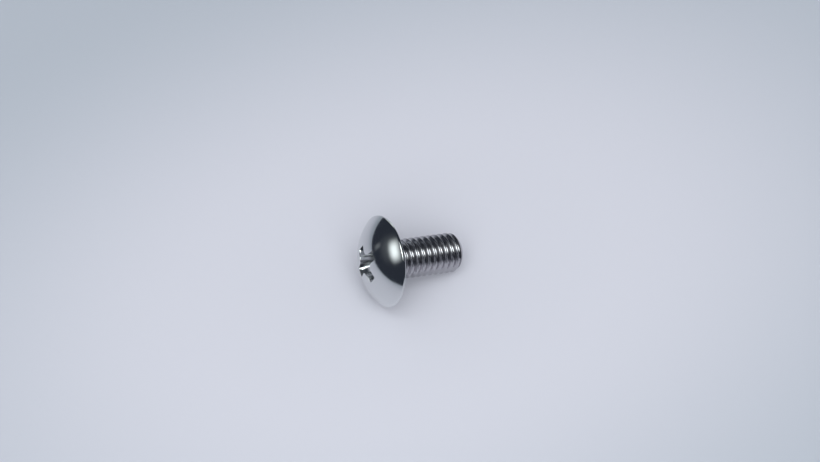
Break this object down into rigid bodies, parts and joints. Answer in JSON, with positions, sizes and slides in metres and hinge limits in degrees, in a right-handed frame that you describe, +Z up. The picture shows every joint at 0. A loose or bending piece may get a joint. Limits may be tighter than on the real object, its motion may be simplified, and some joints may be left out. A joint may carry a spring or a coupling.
{
  "type": "machine screw",
  "caption": "Short truss-head machine screw with a cross recess and a right-hand metric thread up to the head, lying on its head rim and tip.",
  "frame": {"origin": "middle of the bounding box's bottom, on the surface that the screw lies on", "axes": "+Z up; +X runs along the screw from the head to the tip, seen from above; the axis slopes down towards the tip"},
  "size_m": [0.013, 0.0112, 0.0108],
  "materials": {
    "bright_steel": "bright polished stainless steel"
  },
  "bodies": {
    "root": {"machine_screw": "bright_steel"}
  },
  "joints": []
}
